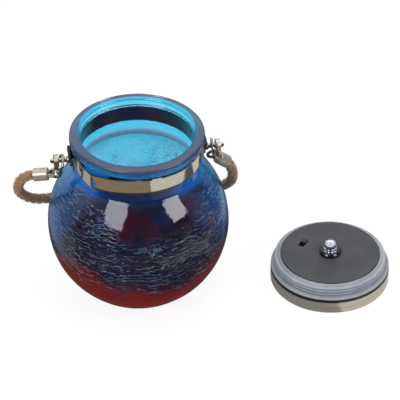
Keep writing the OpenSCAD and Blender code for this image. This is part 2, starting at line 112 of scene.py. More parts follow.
# ---------------------------------------------------------------- material helpers
class Paint:
    """A node material: the shader is a Principled one, and the rest is built from small calls."""

    def __init__(self, name, **fixed):
        self.material = bpy.data.materials.new(name)
        self.material.use_nodes = True
        self.tree = self.material.node_tree
        self.shader = self.tree.nodes["Principled BSDF"]
        self.output = self.tree.nodes["Material Output"]
        for socket, value in fixed.items():
            self.shader.inputs[socket.replace("_", " ")].default_value = value
        self.place = self.add("ShaderNodeTexCoord").outputs["Object"]

    def add(self, kind, **props):
        n = self.tree.nodes.new(kind)
        for k, v in props.items():
            setattr(n, k, v)
        return n

    def put(self, socket, value):
        if isinstance(value, bpy.types.NodeSocket):
            self.tree.links.new(value, socket)
        elif value is not None:
            if socket.type == "RGBA" and len(value) == 3:
                value = (*value, 1)
            socket.default_value = value

    def set(self, socket, value):
        self.put(self.shader.inputs[socket], value)

    def math(self, kind, a, b=None, c=None, clamp=False):
        n = self.add("ShaderNodeMath", operation=kind, use_clamp=clamp)
        for i, v in enumerate((a, b, c)):
            self.put(n.inputs[i], v)
        return n.outputs[0]

    def plus(self, a, b, clamp=False):
        return self.math("ADD", a, b, clamp=clamp)

    def minus(self, a, b, clamp=False):
        return self.math("SUBTRACT", a, b, clamp=clamp)

    def times(self, a, b):
        return self.math("MULTIPLY", a, b)

    def larger(self, a, b):
        return self.math("MAXIMUM", a, b)

    def apart(self, a, b):
        """How far apart two values are."""
        return self.math("ABSOLUTE", self.minus(a, b))

    def sway(self, value, reach):
        """A noise value as a push to either side."""
        return self.times(self.minus(value, 0.5), reach)

    def from_stripe(self, value, pitch):
        """How far a value is from the middle of its repeat, as a share of the pitch."""
        return self.apart(self.math("FRACT", self.math("DIVIDE", value, pitch)), 0.5)

    def vector(self, kind, a, b=None):
        n = self.add("ShaderNodeVectorMath", operation=kind)
        self.put(n.inputs[0], a)
        if kind == "SCALE":
            self.put(n.inputs["Scale"], b)
        else:
            self.put(n.inputs[1], b)
        return n.outputs["Value"] if kind in ("DISTANCE", "LENGTH", "DOT_PRODUCT") else n.outputs[0]

    def split(self, vector):
        n = self.add("ShaderNodeSeparateXYZ")
        self.put(n.inputs[0], vector)
        return n.outputs

    def merge(self, x, y, z):
        n = self.add("ShaderNodeCombineXYZ")
        for i, v in enumerate((x, y, z)):
            self.put(n.inputs[i], v)
        return n.outputs[0]

    def noise(self, scale, detail=3.0, rough=0.55, place=None, colour=False):
        n = self.add("ShaderNodeTexNoise")
        self.put(n.inputs["Vector"], place or self.place)
        n.inputs["Scale"].default_value = scale
        n.inputs["Detail"].default_value = detail
        n.inputs["Roughness"].default_value = rough
        return n.outputs["Color" if colour else "Fac"]

    def cracks(self, scale, place=None):
        n = self.add("ShaderNodeTexVoronoi", feature="DISTANCE_TO_EDGE")
        self.put(n.inputs["Vector"], place or self.place)
        n.inputs["Scale"].default_value = scale
        return n.outputs["Distance"]

    def range(self, value, low, high, to_low=0.0, to_high=1.0, smooth=True):
        n = self.add("ShaderNodeMapRange", interpolation_type="SMOOTHSTEP" if smooth else "LINEAR")
        self.put(n.inputs["Value"], value)
        for k, v in (("From Min", low), ("From Max", high), ("To Min", to_low), ("To Max", to_high)):
            self.put(n.inputs[k], v)
        return n.outputs["Result"]

    def mix(self, share, a, b, blend="MIX"):
        n = self.add("ShaderNodeMix", data_type="RGBA", blend_type=blend)
        self.put(n.inputs[0], share)
        self.put(n.inputs[6], a)
        self.put(n.inputs[7], b)
        return n.outputs[2]

    def bump(self, height, strength, distance, below=None):
        n = self.add("ShaderNodeBump")
        n.inputs["Strength"].default_value = strength
        n.inputs["Distance"].default_value = distance
        self.put(n.inputs["Height"], height)
        if below is not None:
            self.put(n.inputs["Normal"], below)
        return n.outputs[0]

    def wobble(self, amount, scale, detail=2.0, place=None):
        """The place, pushed about by noise."""
        cloud = self.noise(scale, detail, colour=True, place=place)
        offset = self.vector("SUBTRACT", cloud, (0.5, 0.5, 0.5))
        return self.vector("ADD", place or self.place, self.vector("SCALE", offset, amount))

    def let_lamps_through(self, tint):
        """Lamp light and soft bounced light pass straight through, tinted, and light the inside."""
        path = self.add("ShaderNodeLightPath")
        clear = self.add("ShaderNodeBsdfTransparent")
        self.put(clear.inputs[0], tint)
        mixer = self.add("ShaderNodeMixShader")
        is_light = self.larger(path.outputs["Is Shadow Ray"], path.outputs["Is Diffuse Ray"])
        self.put(mixer.inputs[0], is_light)
        self.tree.links.new(self.shader.outputs[0], mixer.inputs[1])
        self.tree.links.new(clear.outputs[0], mixer.inputs[2])
        self.tree.links.new(mixer.outputs[0], self.output.inputs["Surface"])


def polar_place(p, centre=(0.0, 0.0), around=1.0):
    """The place as (angle, radius, height) about a vertical axis, for grain that runs round."""
    x, y, z = p.split(p.place)
    x = p.minus(x, centre[0])
    y = p.minus(y, centre[1])
    angle = p.times(p.math("ARCTAN2", y, x), around)
    radius = p.math("SQRT", p.plus(p.times(x, x), p.times(y, y)))
    return p.merge(angle, radius, z), radius


# ---------------------------------------------------------------- rope, points in mm
ROPE = [
    (-65.6, 1, 104), (-69.5, 2, 103.4), (-73.4, 2.9, 102.9), (-78.5, 5, 100.5), (-82, 9.5, 94.5),
    (-83.5, 15, 86.5), (-83, 21.5, 77), (-79.5, 28, 67.5), (-73, 35, 58.5), (-63.5, 42.5, 51),
    (-51, 51, 45.5), (-37, 60, 41), (-20, 67, 37.5), (0, 70, 36), (20, 68, 36), (37, 61, 38),
    (50, 52, 42), (60, 43, 47), (66.5, 34, 53.5), (69.8, 25.8, 61.5), (71, 18, 70.5), (70.7, 12.6, 79.5),
    (68.7, 9.3, 88), (65.47, 7.61, 94.4), (62.69, 6.63, 97.1), (59.91, 5.64, 99.81)]
STRAND_R = 2.3 * MM
STRAND_OUT = 1.36 * MM
LAY_LENGTH = 23 * MM
ROUTE_STEP = 0.6 * MM
RING = 20
FIBRES = 2400
CLEAR_END = 13 * MM


def smooth_route(points, steps):
    """A Catmull-Rom line through the points."""
    p = np.array(points, float)
    p = np.vstack([2 * p[0] - p[1], p, 2 * p[-1] - p[-2]])
    out = []
    for i in range(1, len(p) - 2):
        for t in np.arange(steps) / steps:
            a, b, c, d = p[i - 1], p[i], p[i + 1], p[i + 2]
            out.append(0.5 * (2 * b + (c - a) * t + (2 * a - 5 * b + 4 * c - d) * t * t
                              + (3 * b - a - 3 * c + d) * t ** 3))
    out.append(p[-2])
    return np.array(out)


def even_route(points, step):
    """The same line with points an even distance apart, and its length."""
    s = np.r_[0, np.linalg.norm(np.diff(points, axis=0), axis=1).cumsum()]
    u = np.linspace(0, s[-1], int(round(s[-1] / step)) + 1)
    return np.stack([np.interp(u, s, points[:, k]) for k in range(3)], 1), s[-1]


def route_frames(points):
    """Tangent and two sideways directions that don't twist along the line."""
    t = np.gradient(points, axis=0)
    t /= np.linalg.norm(t, axis=1)[:, None]
    n = np.zeros_like(t)
    n[0] = np.cross(t[0], (0, 0, 1))
    n[0] /= np.linalg.norm(n[0])
    for i in range(1, len(t)):
        n[i] = n[i - 1] - t[i] * (n[i - 1] @ t[i])
        n[i] /= np.linalg.norm(n[i])
    return t, n, np.cross(t, n)


route, rope_length = even_route(smooth_route(ROPE, 8) * MM, ROUTE_STEP)
rope_t, rope_n, rope_b = route_frames(route)

jute = Paint("jute", Roughness=0.88, Sheen_Weight=0.12, Sheen_Roughness=0.5)
fibre_place = jute.add("ShaderNodeAttribute", attribute_name="strand").outputs["Vector"]
along, around, out = jute.split(fibre_place)
streak_place = jute.merge(jute.times(along, 90.0), jute.times(around, 3.2), 0.0)
streak = jute.noise(1.0, 5.0, 0.68, place=streak_place)
blotch = jute.noise(420.0, 4.0, 0.65)
brown = jute.mix(jute.range(streak, 0.30, 0.66), (0.15, 0.072, 0.031), (0.49, 0.30, 0.150))
brown = jute.mix(jute.range(blotch, 0.42, 0.62, 0.0, 0.65), brown, (0.13, 0.065, 0.030))
# painted shade: darker towards the rope's middle, in the grooves between the strands
brown = jute.mix(jute.range(out, 0.40, 0.90), (0.085, 0.042, 0.020), brown)
jute.set("Base Color", brown)
jute.set("Normal", jute.bump(streak, 0.75, 0.0005))

# three strands laid round each other
verts, faces, marks = [], [], []
lean = 2 * math.pi * STRAND_OUT / LAY_LENGTH
for k in range(3):
    first = len(verts)
    for i, p in enumerate(route):
        s = i * rope_length / (len(route) - 1)
        a = 2 * math.pi * (s / LAY_LENGTH + k / 3)
        away = math.cos(a) * rope_n[i] + math.sin(a) * rope_b[i]
        side = np.cross(rope_t[i], away) - rope_t[i] * lean
        side /= np.linalg.norm(side)
        wander = 0.10 * MM * noise.noise(Vector((s * 180, k * 7.0, 0)))
        centre = p + away * (STRAND_OUT + wander)
        for j in range(RING):
            f = 2 * math.pi * j / RING
            yarn = 0.955 + 0.045 * abs(math.cos(2.5 * f - s * 900))
            r = STRAND_R * yarn * (1 + 0.035 * noise.noise(Vector((s * 900, f * 2, k))))
            v = centre + r * (math.cos(f) * away + math.sin(f) * side)
            verts.append(v)
            # the third value, the distance from the rope's middle, sets the painted groove shade
            marks.append((s * 20, f + k * 2 + s * 60, np.linalg.norm(v - p) / (STRAND_OUT + STRAND_R)))
    n = len(route)
    for i in range(n - 1):
        for j in range(RING):
            a, b = first + i * RING + j, first + i * RING + (j + 1) % RING
            faces.append((a, b, b + RING, a + RING))
    faces.append([first + j for j in range(RING)][::-1])
    faces.append([first + (n - 1) * RING + j for j in range(RING)])
rope = make("rope_strands", verts, faces, [jute.material], sharp=60)
vector_attribute(rope.data, "strand", marks)

# loose fibres that stand off the rope
verts, faces, marks = [], [], []
rng = np.random.default_rng(4)
clear_steps = int(CLEAR_END / ROUTE_STEP)
for k in range(FIBRES):
    i = rng.integers(clear_steps, len(route) - clear_steps)
    a = rng.uniform(0, 2 * math.pi)
    away = math.cos(a) * rope_n[i] + math.sin(a) * rope_b[i]
    across = np.cross(rope_t[i], away)
    run = rope_t[i] * rng.choice((-1, 1)) * rng.uniform(0.5, 1) + across * rng.uniform(-0.8, 0.8)
    run /= np.linalg.norm(run)
    length = rng.uniform(2.0, 5.5) * MM
    lift = rng.uniform(0.1, 0.95) * MM
    thick = rng.uniform(0.035, 0.075) * MM
    start = route[i] + away * 3.3 * MM
    curl = across * rng.uniform(-0.6, 0.6) * MM
    first = len(verts)
    for q in range(5):
        u = q / 4
        c = start + run * length * u + away * (0.35 * MM + lift * u * u) + curl * u * u
        r = thick * (1 - 0.7 * u)
        other = np.cross(run, away)
        for w in range(3):
            g = 2 * math.pi * w / 3
            verts.append(c + r * (math.cos(g) * away + math.sin(g) * other))
            marks.append((k * 0.37, w, 0.98))
    for q in range(4):
        for w in range(3):
            x, y = first + q * 3 + w, first + q * 3 + (w + 1) % 3
            faces.append((x, y, y + 3, x + 3))
    faces.append((first + 2, first + 1, first))
    faces.append((first + 12, first + 13, first + 14))
fuzz = make("rope_fibres", verts, faces, [jute.material], smooth=False)
vector_attribute(fuzz.data, "strand", marks)
for piece in (rope, fuzz):
    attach(piece, "handle")
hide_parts("handle_rope")

# ---------------------------------------------------------------- glass jar
BODY_R, BODY_Z, WALL, FLOOR_T = 65, 57.5, 4, 6
NECK_R, MOUTH_R, RIM_R = 44.5, 40.4, 47.8
RIM_LOW, RIM_TOP, BEAD, LIP = 126, 134, 2.5, 2
FOOT_R, PUNT_R, PUNT_D, FILLET, THROAT = 30.31, 24, 1.5, 3, 7
TURN = 256


def elevation_on(radius, height):
    """The angle at which a circle about the body's centre is at that height."""
    return math.degrees(math.asin((height - BODY_Z) / radius))


fillet_r = NECK_R + FILLET
fillet_rise = math.sqrt((BODY_R + FILLET) ** 2 - fillet_r ** 2)
fillet_a = math.degrees(math.atan2(fillet_rise, fillet_r))
inner_r = BODY_R - WALL
punt_ball = (PUNT_R ** 2 + PUNT_D ** 2) / (2 * PUNT_D)
outside = join_lines(
    [(r, PUNT_D - (punt_ball - math.sqrt(punt_ball ** 2 - r * r))) for r in np.linspace(0, PUNT_R, 13)],
    line((PUNT_R, 0), (FOOT_R - 0.6, 0), 4),
    arc((0, BODY_Z), BODY_R, elevation_on(BODY_R, 0.35), fillet_a, 104),
    arc((fillet_r, BODY_Z + fillet_rise), FILLET, 180 + fillet_a, 180, 8),
    line((NECK_R, BODY_Z + fillet_rise), (NECK_R, RIM_LOW - 0.8), 12),
    arc((NECK_R + 0.8, RIM_LOW - 0.8), 0.8, 180, 90, 4),
    arc((RIM_R - BEAD, RIM_LOW + BEAD), BEAD, 270, 360, 8),
    arc((RIM_R - BEAD, RIM_TOP - BEAD), BEAD, 0, 90, 8),
    line((RIM_R - BEAD, RIM_TOP), (MOUTH_R + LIP, RIM_TOP), 3),
    arc((MOUTH_R + LIP, RIM_TOP - LIP), LIP, 90, 180, 7))
throat_rise = math.sqrt((inner_r + THROAT) ** 2 - (MOUTH_R + THROAT) ** 2)
throat_a = math.degrees(math.atan2(throat_rise, MOUTH_R + THROAT))
inside = join_lines(
    line((MOUTH_R, RIM_TOP - LIP), (MOUTH_R, BODY_Z + throat_rise), 16),
    arc((MOUTH_R + THROAT, BODY_Z + throat_rise), THROAT, 180, 180 + throat_a, 10),
    arc((0, BODY_Z), inner_r, throat_a, elevation_on(inner_r, FLOOR_T + 1.2), 92),
    line((math.sqrt(inner_r ** 2 - (BODY_Z - FLOOR_T) ** 2) - 1.0, FLOOR_T), (0, FLOOR_T), 14))
profile = outside + inside[1:]
outer_rings = len(outside)


def fade(value, low, high):
    """0 below low, 1 above high and even between; low and high may be swapped."""
    return min(1.0, max(0.0, (value - low) / (high - low)))


def ripple(x, y, z, outer):
    """How far the hand-blown surface lies behind the true one, in millimetres."""
    body = fade(z, 108, 100) * fade(z, 0, 10) if outer else fade(z, 118, 104)
    seed = 0.0 if outer else 40.0
    p = Vector((x, y, z))
    low = 0.5 + 0.5 * noise.noise(p * 0.030 + Vector((seed, 0, 3)))
    mid = 0.5 + 0.5 * noise.noise(p * 0.085 + Vector((seed, 9, 0)))
    fine = 0.5 + 0.5 * noise.noise(p * 0.26 + Vector((seed, 0, 7)))
    return body * (0.34 * low + 0.16 * mid + 0.035 * fine) + 0.03 * mid


def blown(x, y, z, r, outer):
    """One point of the glass, moved into the wall by the ripple."""
    back = ripple(x, y, z, outer) * (1 if outer else 1.4)
    if 8 < z < RIM_LOW - 2:
        away = Vector((x, y, 0 if z > 104 else z - BODY_Z)).normalized()
        return tuple((Vector((x, y, z)) - away * back * (1 if outer else -0.5)) * MM)
    keep = 1 - back / max(r, 1) if z > 2 else 1.0
    return (x * keep * MM, y * keep * MM, z * MM)


verts, faces, slots = [], [], []
rings = []
for i, (r, z) in enumerate(profile):
    if r < 1e-6:
        rings.append([len(verts)])
        verts.append((0, 0, z * MM))
        continue
    rings.append([len(verts) + j for j in range(TURN)])
    for j in range(TURN):
        a = 2 * math.pi * j / TURN
        verts.append(blown(r * math.cos(a), r * math.sin(a), z, r, i < outer_rings))
for i in range(len(rings) - 1):
    a, b = rings[i], rings[i + 1]
    for j in range(TURN):
        k = (j + 1) % TURN
        if len(a) == 1:
            faces.append((a[0], b[k], b[j]))
        elif len(b) == 1:
            faces.append((a[j], a[k], b[0]))
        else:
            faces.append((a[j], a[k], b[k], b[j]))
        slots.append(0 if i < outer_rings - 1 else 1)

# lacquered outside: blue above, red below, with light scattered by the crackle; heights in metres. The
# blues are painted darker on the side that faces the camera (painted shade) and lighter on the far side
# (painted light).
RED = (0.27, 0.012, 0.009)
PURPLE = (0.020, 0.008, 0.030)
NAVY = (0.0012, 0.014, 0.075)
PLUM = (0.045, 0.006, 0.022)
BLUE_FRONT_SHADED = (0.003, 0.13, 0.53)
BLUE_BACK_LIT = (0.007, 0.36, 0.72)
LIP_FRONT_SHADED = (0.010, 0.13, 0.40)
LIP_BACK_LIT = (0.045, 0.50, 0.78)
RIM_GREY = (0.085, 0.105, 0.175)
LINE_BLUE = (0.24, 0.45, 0.62)
TO_CAMERA = (-0.163, -0.987, 0.0)
PLUM_SPOTS = (((-14.0, -50.0, 93.0), 17), ((26.0, -42.0, 97.0), 18),
              ((2.0, -56.0, 92.0), 12), ((45.0, -40.0, 80.0), 13))
# pitch, offset, jitter (scale, reach), drift (scale, reach), width, spots, shown from, shown to, strength
LEVEL_SETS = (
    (0.0033, 0.0, (230.0, 0.0056), (60.0, 0.012), 0.055, 120.0, 0.42, 0.54, 1.0),
    (0.0041, 0.0013, (190.0, 0.0074), (48.0, 0.016), 0.045, 140.0, 0.44, 0.56, 0.9),
    (0.0027, 0.0007, (300.0, 0.0046), (80.0, 0.010), 0.050, 160.0, 0.46, 0.58, 0.6))

lacquer = Paint("crackle_lacquer", Roughness=0.03, IOR=1.5, Specular_IOR_Level=0.5)
x, y, z = lacquer.split(lacquer.place)
ring_r = lacquer.vector("LENGTH", lacquer.merge(x, y, 0.0))
flow = lacquer.noise(24.0, 2.0)
drift = lacquer.noise(85.0, 3.0)
level = lacquer.plus(z, lacquer.sway(flow, 0.026))
level = lacquer.plus(level, lacquer.sway(drift, 0.012))
towards_camera = lacquer.vector("DOT_PRODUCT", lacquer.place, TO_CAMERA)
front_share = lacquer.math("DIVIDE", towards_camera, ring_r)
centre_share = lacquer.range(front_share, 0.45, 0.93)
# painted shade and light: the blue is darker on the side facing the camera and lighter on the far side
blue = lacquer.mix(lacquer.range(front_share, -0.25, 0.30), BLUE_BACK_LIT, BLUE_FRONT_SHADED)
side_share = lacquer.range(lacquer.apart(x, 0.004), 0.018, 0.050)
red_level = lacquer.plus(level, lacquer.math("MULTIPLY_ADD", side_share, -0.010, 0.004))
coat = lacquer.mix(lacquer.range(red_level, 0.035, 0.048), RED, PURPLE)
coat = lacquer.mix(lacquer.range(red_level, 0.045, 0.054), coat, NAVY)
# painted shade: the blue starts higher in the middle of the side facing the camera, which stays navy and
# purple
blue_from = lacquer.math("MULTIPLY_ADD", centre_share, 0.056, 0.048)
blue_full = lacquer.math("MULTIPLY_ADD", centre_share, 0.062, 0.068)
coat = lacquer.mix(lacquer.range(level, blue_from, blue_full), coat, blue)
patch_place = lacquer.wobble(0.03, 45.0, 3.0)
for centre, reach in PLUM_SPOTS:
    away = lacquer.vector("DISTANCE", patch_place, tuple(c * MM for c in centre))
    coat = lacquer.mix(lacquer.range(away, 0.2 * reach * MM, reach * MM, 0.6, 0.0), coat, PLUM)
belt_top = lacquer.math("MULTIPLY_ADD", side_share, 0.022, 0.080)
above_red = lacquer.range(level, 0.031, 0.043)
below_top = lacquer.range(lacquer.minus(level, belt_top), -0.004, 0.012, 1.0, 0.0)
belt = lacquer.times(above_red, below_top)


def level_lines(pitch, offset, jitter, drift_by, width, spots, low, high, strength):
    """Thin jagged lines that run round the jar, mostly level, and come and go."""
    shake = lacquer.sway(lacquer.noise(jitter[0], 3.0, 0.6), jitter[1])
    bend = lacquer.sway(lacquer.noise(drift_by[0], 1.0), drift_by[1])
    height = lacquer.plus(lacquer.plus(z, offset), lacquer.plus(shake, bend))
    from_line = lacquer.from_stripe(height, pitch)
    px, py, pz = lacquer.split(lacquer.place)
    flat_place = lacquer.merge(px, py, lacquer.times(pz, 2.6))
    shown = lacquer.range(lacquer.noise(spots, 2.0, place=flat_place), low, high, 0.0, strength)
    thin = lacquer.range(from_line, 0.0, width, 1.0, 0.0)
    return lacquer.times(thin, lacquer.times(shown, belt))


def cell_lines(cells, width, spots, low, high, strength):
    """Thin light lines on some of the cell edges."""
    shown = lacquer.range(lacquer.noise(spots, 3.0), low, high, 0.0, strength)
    thin = lacquer.range(cells, 0.0, width, 1.0, 0.0)
    return lacquer.times(thin, lacquer.times(shown, belt))


fx, fy, fz = lacquer.split(lacquer.wobble(0.0045, 170.0, 3.0))
big = lacquer.cracks(100.0, lacquer.merge(fx, fy, lacquer.times(fz, 3.6)))
small = lacquer.cracks(330.0, lacquer.wobble(0.002, 300.0))
lines = cell_lines(big, 0.034, 90.0, 0.44, 0.60, 0.7)
for level_set in LEVEL_SETS:
    lines = lacquer.larger(lines, level_lines(*level_set))
lines = lacquer.larger(lines, cell_lines(small, 0.06, 70.0, 0.50, 0.66, 0.3))

top = lacquer.times(lacquer.range(z, 0.1308, 0.1332), lacquer.range(ring_r, 0.0420, 0.0431))
bead = lacquer.range(z, 0.1245, 0.1262)
# painted shade and light on the lip: darker towards the camera, lighter at the back
lip_blue = lacquer.mix(lacquer.range(front_share, -0.35, 0.25), LIP_BACK_LIT, LIP_FRONT_SHADED)
coat = lacquer.mix(lacquer.times(bead, 0.8), coat, lip_blue)
coat = lacquer.mix(top, coat, RIM_GREY)
tint = lacquer.add("ShaderNodeGamma")
lacquer.put(tint.inputs[0], coat)
tint.inputs[1].default_value = 0.5
coat = lacquer.mix(lacquer.times(lines, 0.9), coat, LINE_BLUE)
lacquer.set("Base Color", coat)
haze = lacquer.range(level, 0.020, 0.050, 0.34, 0.015)
haze = lacquer.plus(haze, lacquer.times(bead, 0.06))
haze = lacquer.plus(haze, lacquer.times(top, 0.40))
haze = lacquer.larger(haze, lacquer.times(lines, 0.75))
lacquer.set("Transmission Weight", lacquer.minus(1.0, haze, clamp=True))
rough = lacquer.plus(0.03, lacquer.times(drift, 0.04))
rough = lacquer.plus(rough, lacquer.times(top, 0.25))
rough = lacquer.plus(rough, lacquer.times(lines, 0.2))
lacquer.set("Roughness", rough)
ridge = lacquer.times(lacquer.range(big, 0.0, 0.12, 1.0, 0.0), belt)
ridge = lacquer.plus(ridge, lines)
waves = lacquer.bump(lacquer.noise(95.0, 3.0), 0.34, 0.0006)
lacquer.set("Normal", lacquer.bump(ridge, 0.22, 0.0002, waves))
lacquer.let_lamps_through(tint.outputs[0])

# clear inside of the glass, with its fine web of cracks and a soft smear where the neck begins
INSIDE_CLEAR = (0.74, 0.91, 0.95)
INSIDE_WEB = (0.05, 0.15, 0.26)
INSIDE_SMEAR = (0.20, 0.60, 0.80)
THROAT_Z = 104.5 * MM
clear = Paint("crackle_inside", Transmission_Weight=1.0, IOR=1.5)
web = clear.cracks(330.0, clear.wobble(0.003, 220.0))
web_far = clear.cracks(150.0, clear.wobble(0.005, 130.0))
_, _, height = clear.split(clear.place)
webbed = clear.times(clear.range(height, 0.097, 0.107, 1.0, 0.0),
                     clear.range(clear.noise(45.0, 3.0), 0.36, 0.62))
dark = clear.times(clear.range(web, 0.0, 0.10, 1.0, 0.0), webbed)
dark_far = clear.times(clear.range(web_far, 0.0, 0.05, 0.8, 0.0), webbed)
dark = clear.plus(dark, dark_far, clamp=True)
throat = clear.range(clear.apart(height, THROAT_Z), 0.0015, 0.0065, 1.0, 0.0)
inside_tone = clear.mix(clear.times(dark, 0.85), INSIDE_CLEAR, INSIDE_WEB)
clear.set("Base Color", clear.mix(clear.times(throat, 0.8), inside_tone, INSIDE_SMEAR))
clear.set("Transmission Weight", clear.minus(1.0, clear.times(throat, 0.6)))
clear_rough = clear.range(clear.noise(60.0, 3.0), 0.3, 0.7, 0.02, 0.07)
clear.set("Roughness", clear.plus(clear_rough, clear.times(throat, 0.4)))
web_height = clear.range(web, 0.0, 0.10)
clear.set("Normal", clear.bump(web_height, 0.25, 0.0002, clear.bump(clear.noise(70.0, 3.0), 0.15, 0.0008)))
clear.let_lamps_through((0.95, 0.97, 0.98))

glass = make("glass_shell", verts, faces, [lacquer.material, clear.material], slots=slots)
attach(glass, "jar")
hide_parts("glass_jar")


# ---------------------------------------------------------------- metals
def metal(name, colour, rough, grain=900.0, worn=0.5, relief=0.12, dark=0.55, metallic=1.0):
    """Metal with fine scratches, smudges and a little colour change."""
    p = Paint(name, Metallic=metallic, IOR=1.5)
    scratch = p.noise(grain, 5.0, 0.7)
    smudge = p.noise(160.0, 3.0)
    dull = tuple(c * dark for c in colour)
    p.set("Base Color", p.mix(p.range(smudge, 0.42, 0.8, 0.0, worn), colour, dull))
    p.set("Roughness", p.range(scratch, 0.25, 0.75, rough * 0.75, rough * 1.35))
    p.set("Normal", p.bump(scratch, relief, 0.00012))
    return p.material


polished = metal("polished_steel", (0.74, 0.72, 0.68), 0.085, worn=0.25, relief=0.05)
hardware = metal("hardware_steel", (0.46, 0.42, 0.36), 0.16, grain=1400.0, worn=0.8, relief=0.2, dark=0.3)
dark_ring = metal("dark_ring_steel", (0.27, 0.26, 0.245), 0.2, grain=1500.0, worn=0.8, relief=0.25,
                  dark=0.3)
cap_metal = metal("cap_metal", (0.48, 0.42, 0.35), 0.30, grain=700.0, worn=0.5, relief=0.12, dark=0.6,
                  metallic=0.55)

# steel below, and a painted dark reflection of the rim along the upper edge
bracket = Paint("bracket_steel", Metallic=1.0)
scuff = bracket.noise(160.0, 3.0)
bracket_z = bracket.split(bracket.place)[2]
steel_tone = bracket.mix(bracket.range(scuff, 0.42, 0.8, 0.0, 0.5), (0.70, 0.67, 0.61), (0.36, 0.34, 0.31))
painted_rim_reflection = bracket.range(bracket_z, 0.1196, 0.1206)
bracket.set("Base Color", bracket.mix(painted_rim_reflection, steel_tone, (0.030, 0.032, 0.070)))
bracket.set("Roughness", bracket.range(bracket.noise(900.0, 4.0), 0.3, 0.7, 0.10, 0.20))
# painted shade: a near-black metal on the strap's inner face and top edge, for the dark gap between strap
# and glass
strap_painted_shade = metal("strap_painted_shade", (0.010, 0.014, 0.028), 0.6, worn=0.4)

BAND_Z, BAND_W, BAND_T, BAND_EDGE = 113, 12, 0.55, 0.09
SHADE_PAINTED_SIDES = 4
STRAP_IN = 44.6
FRONT_MID = STRAP_IN + 1.5 * BAND_T + 0.05
CORNER_A, CORNER_OUT, LEFT_A, RIGHT_A, POWER = 220.5, 3.9, 26.5, 35.5, 1.2
FRONT_END = 343
HOLE_A, HOLE_R, HOLE_Z, HOLE_FROM, HOLE_DEPTH = 223.5, 1.9, 117.7, 46.5, 6
WINDOW = (207, 236)


def stand_off(a):
    """Extra distance of the front strap from the axis at an angle, in mm."""
    share = 1 - abs(a - CORNER_A) / (LEFT_A if a < CORNER_A else RIGHT_A)
    return CORNER_OUT * max(0.0, share) ** POWER


def strap(name, angles, radius, materials, swell):
    """A thin steel strap round the neck with rounded edges and slight dents."""
    half, edge = BAND_T / 2, BAND_EDGE
    section = [(-half, edge), (-half, BAND_W - edge), (-half + edge, BAND_W), (half - edge, BAND_W)]
    rows = [(half, BAND_W - edge - (BAND_W - 2 * edge) * i / 8) for i in range(9)]
    section += rows + [(half - edge, 0), (-half + edge, 0)]
    verts, faces, slots = [], [], []
    for a in angles:
        c, s = math.cos(math.radians(a)), math.sin(math.radians(a))
        for d, h in section:
            dent = swell * noise.noise(Vector((a * 0.09, h * 0.15, 2.5)))
            r = radius(a) + d + (dent if d == half else 0)
            verts.append((r * c * MM, r * s * MM, (BAND_Z + h) * MM))
    m = len(section)
    for i in range(len(angles) - 1):
        for j in range(m):
            k = (j + 1) % m
            faces.append((i * m + j, i * m + k, (i + 1) * m + k, (i + 1) * m + j))
            # the inner face and the top edge take the painted-shade material
            slots.append(1 if j < SHADE_PAINTED_SIDES else 0)
    faces.append([j for j in range(m)][::-1])
    faces.append([(len(angles) - 1) * m + j for j in range(m)])
    slots += [0, 0]
    obj = make(name, verts, faces, materials, slots=slots, sharp=50)
    bm = bmesh.new()
    bm.from_mesh(obj.data)
    bmesh.ops.recalc_face_normals(bm, faces=bm.faces)
    bm.to_mesh(obj.data)
    bm.free()
    return obj


def cut_hole(obj, a, z, r, depth_from, depth):
    """Cuts a round hole that points outwards at an angle."""
    cutter = bpy.data.meshes.new("cutter")
    bm = bmesh.new()
    bmesh.ops.create_cone(bm, cap_ends=True, segments=48, radius1=r, radius2=r, depth=depth)
    bm.to_mesh(cutter)
    bm.free()
    tool = bpy.data.objects.new("cutter", cutter)
    bpy.context.scene.collection.objects.link(tool)
    turn = Matrix.Rotation(math.radians(a), 4, "Z") @ Matrix.Translation(((depth_from + depth / 2), 0, z))
    tool.matrix_world = turn @ Matrix.Rotation(math.radians(90), 4, "Y")
    mod = obj.modifiers.new("hole", "BOOLEAN")
    mod.object = tool
    mod.operation = "DIFFERENCE"
    bpy.context.view_layer.update()
    done = bpy.data.meshes.new_from_object(obj.evaluated_get(bpy.context.evaluated_depsgraph_get()))
    obj.modifiers.clear()
    obj.data = done
    bpy.data.objects.remove(tool)


back_angles = list(np.arange(WINDOW[1] - 360, WINDOW[0] + 0.1, 1.5))
strap_steel = [polished, strap_painted_shade]
inner_strap = strap("neck_strap", back_angles, lambda a: STRAP_IN + BAND_T / 2, strap_steel, 0.0)
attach(inner_strap, "jar")
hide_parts("neck_band")
front_angles = list(np.arange(CORNER_A - LEFT_A, FRONT_END + 0.1, 0.75))
front = strap("front_strap_steel", front_angles, lambda a: FRONT_MID + stand_off(a), strap_steel, 0.05)
cut_hole(front, HOLE_A, HOLE_Z * MM, HOLE_R * MM, HOLE_FROM * MM, HOLE_DEPTH * MM)
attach(front, "jar")
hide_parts("front_strap")


# ---------------------------------------------------------------- lid materials
LID_X, LID_Y, STEEL_TOP, GASKET_LOW = 137.5 * MM, -17.5 * MM, 10 * MM, 11.15 * MM
EDGE_SHADE_BLACK = (0.02, 0.02, 0.02)
brushed = Paint("brushed_rim", Metallic=0.7)
ring_place, _ = polar_place(brushed, (LID_X, LID_Y), 0.6)
ax, ar, az = brushed.split(ring_place)
grain_place = brushed.merge(ax, brushed.times(ar, 260.0), brushed.times(az, 1500.0))
grain = brushed.noise(2.2, 6.0, 0.75, place=grain_place)
lid_z = brushed.split(brushed.place)[2]
steel = brushed.mix(brushed.range(grain, 0.3, 0.7), (0.44, 0.40, 0.345), (0.73, 0.68, 0.60))
# painted shade: the top of the rim, just under the gasket, is coloured near black
edge_shade_share = brushed.range(lid_z, STEEL_TOP - 0.0005, STEEL_TOP - 0.0003)
brushed.set("Base Color", brushed.mix(edge_shade_share, steel, EDGE_SHADE_BLACK))
brushed.set("Roughness", brushed.range(grain, 0.3, 0.7, 0.24, 0.42))
brushed.set("Normal", brushed.bump(grain, 0.35, 0.00015))

